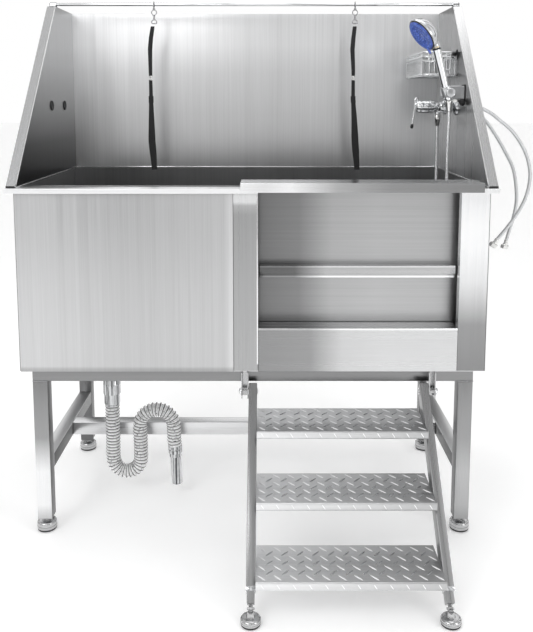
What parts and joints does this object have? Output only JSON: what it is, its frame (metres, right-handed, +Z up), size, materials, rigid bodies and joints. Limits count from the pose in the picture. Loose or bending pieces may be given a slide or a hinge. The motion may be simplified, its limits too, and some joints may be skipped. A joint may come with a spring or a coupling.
{
  "type": "pet bathtub",
  "caption": "Free-standing stainless steel grooming tub on legs, with sliding door, splash guard, ladder, rod with loops, mixer, hand shower, basket and drain hose.",
  "frame": {"origin": "on the floor, under the middle of the outer box of tub and ladder together, hoses and straps left out", "axes": "+Z up, +X to the right of someone who faces the door, +Y from the ladder towards the back guard"},
  "size_m": [1.4853, 1.04, 1.483],
  "materials": {
    "brushed_tube": "satin brushed along the tube",
    "polished_steel": "polished",
    "brushed_sheet": "satin brushed, vertical grain",
    "brushed_guard": "satin brushed, vertical grain",
    "chrome_fitting": "bright plated",
    "webbing": "woven nylon",
    "plated_plastic": "bright plated plastic",
    "blue_plastic": "glossy",
    "braided_hose": "steel braid over rubber",
    "drain_plastic": "plated corrugated plastic",
    "ladder_steel": "satin brushed along the rail",
    "tread_plate": "rolled five-bar pattern"
  },
  "bodies": {
    "station": {"top_frame": "brushed_tube", "lower_frame": "brushed_tube", "front_left_leg": "brushed_tube", "back_left_leg": "brushed_tube", "front_right_leg": "brushed_tube", "back_right_leg": "brushed_tube", "tub_floor": "brushed_sheet", "left_wall": "brushed_sheet", "right_wall": "brushed_sheet", "back_wall": "brushed_sheet", "front_panel": "brushed_sheet", "centre_post": "brushed_sheet", "right_post": "brushed_sheet", "front_rim": "brushed_sheet", "door_sill": "brushed_sheet", "door_track": "brushed_sheet", "inner_panel": "brushed_sheet", "back_guard": "brushed_guard", "left_guard": "brushed_guard", "right_guard": "brushed_guard", "left_guard_flange": "brushed_guard", "right_guard_flange": "brushed_guard", "drain_socket": "chrome_fitting", "grooming_rod": "chrome_fitting", "left_rod_clip": "chrome_fitting", "right_rod_clip": "chrome_fitting", "mixer_body": "chrome_fitting", "wire_basket": "chrome_fitting", "holder_base": "plated_plastic", "shower_hose": "braided_hose", "hot_supply_hose": "braided_hose", "cold_supply_hose": "braided_hose", "drain_hose": "drain_plastic", "left_ladder_bracket": "ladder_steel", "right_ladder_bracket": "ladder_steel"},
    "door": {"door_panel": "brushed_sheet", "door_rail": "brushed_sheet", "door_cap": "brushed_sheet"},
    "ladder": {"left_ladder_rail": "ladder_steel", "right_ladder_rail": "ladder_steel", "upper_tread": "tread_plate", "middle_tread": "tread_plate", "lower_tread": "tread_plate"},
    "shower_arm": {"holder_clip": "plated_plastic", "handset": "plated_plastic"},
    "front_left_foot": {"front_left_foot": "polished_steel"},
    "back_left_foot": {"back_left_foot": "polished_steel"},
    "front_right_foot": {"front_right_foot": "polished_steel"},
    "back_right_foot": {"back_right_foot": "polished_steel"},
    "left_ladder_leg": {"left_ladder_leg": "ladder_steel"},
    "right_ladder_leg": {"right_ladder_leg": "ladder_steel"},
    "left_ladder_foot": {"left_ladder_foot": "polished_steel"},
    "right_ladder_foot": {"right_ladder_foot": "polished_steel"},
    "drain_strainer": {"drain_strainer": "chrome_fitting"},
    "mixer_lever": {"mixer_lever": "chrome_fitting"},
    "spray_selector": {"spray_selector": "blue_plastic"},
    "left_loop_swivel": {"left_loop_swivel": "chrome_fitting"},
    "right_loop_swivel": {"right_loop_swivel": "chrome_fitting"},
    "left_loop_strap": {"left_loop_strap": "webbing"},
    "right_loop_strap": {"right_loop_strap": "webbing"}
  },
  "joints": [
    {"name": "door_slide", "type": "slide", "parent": "station", "child": "door", "axis": [-1, 0, 0], "range_m": [0, 0.52]},
    {"name": "ladder_swing", "type": "hinge", "parent": "station", "child": "ladder", "pos_m": [0.228, -0.1423, 0.41], "axis": [-1, 0, 0], "range_deg": [0, 75]},
    {"name": "left_ladder_leg_slide", "type": "slide", "parent": "ladder", "child": "left_ladder_leg", "axis": [0, -0.6756, -0.7373], "range_m": [0, 0.06]},
    {"name": "left_ladder_foot_screw", "type": "slide", "parent": "left_ladder_leg", "child": "left_ladder_foot", "axis": [0, -0.6756, -0.7373], "range_m": [0, 0.015]},
    {"name": "right_ladder_leg_slide", "type": "slide", "parent": "ladder", "child": "right_ladder_leg", "axis": [0, -0.6756, -0.7373], "range_m": [0, 0.06]},
    {"name": "right_ladder_foot_screw", "type": "slide", "parent": "right_ladder_leg", "child": "right_ladder_foot", "axis": [0, -0.6756, -0.7373], "range_m": [0, 0.015]},
    {"name": "front_left_foot_screw", "type": "slide", "parent": "station", "child": "front_left_foot", "axis": [0, 0, -1], "range_m": [0, 0.03]},
    {"name": "front_right_foot_screw", "type": "slide", "parent": "station", "child": "front_right_foot", "axis": [0, 0, -1], "range_m": [0, 0.03]},
    {"name": "back_left_foot_screw", "type": "slide", "parent": "station", "child": "back_left_foot", "axis": [0, 0, -1], "range_m": [0, 0.03]},
    {"name": "back_right_foot_screw", "type": "slide", "parent": "station", "child": "back_right_foot", "axis": [0, 0, -1], "range_m": [0, 0.03]},
    {"name": "strainer_lift", "type": "slide", "parent": "station", "child": "drain_strainer", "axis": [0, 0, 1], "range_m": [0, 0.05]},
    {"name": "lever_turn", "type": "hinge", "parent": "station", "child": "mixer_lever", "pos_m": [0.507, 0.2855, 1.16], "axis": [1, 0, 0], "range_deg": [-45, 45]},
    {"name": "holder_swivel", "type": "hinge", "parent": "station", "child": "shower_arm", "pos_m": [0.56, 0.11, 1.202], "axis": [0, 1, 0], "range_deg": [-25, 20], "deforming": ["shower_hose"]},
    {"name": "spray_select", "type": "hinge", "parent": "shower_arm", "child": "spray_selector", "pos_m": [0.4685, 0.062, 1.359], "axis": [-0.7651, -0.2277, -0.6023], "range_deg": [-15, 15]},
    {"name": "left_loop_slide", "type": "slide", "parent": "station", "child": "left_loop_swivel", "axis": [1, 0, 0], "range_m": [-0.27, 0.28]},
    {"name": "right_loop_slide", "type": "slide", "parent": "station", "child": "right_loop_swivel", "axis": [1, 0, 0], "range_m": [-0.28, 0.14]},
    {"name": "left_strap_swing", "type": "hinge", "parent": "left_loop_swivel", "child": "left_loop_strap", "pos_m": [-0.311, 0.315, 1.416], "axis": [1, 0, 0], "range_deg": [-60, 20]},
    {"name": "right_strap_swing", "type": "hinge", "parent": "right_loop_swivel", "child": "right_loop_strap", "pos_m": [0.311, 0.315, 1.416], "axis": [1, 0, 0], "range_deg": [-60, 20]}
  ]
}
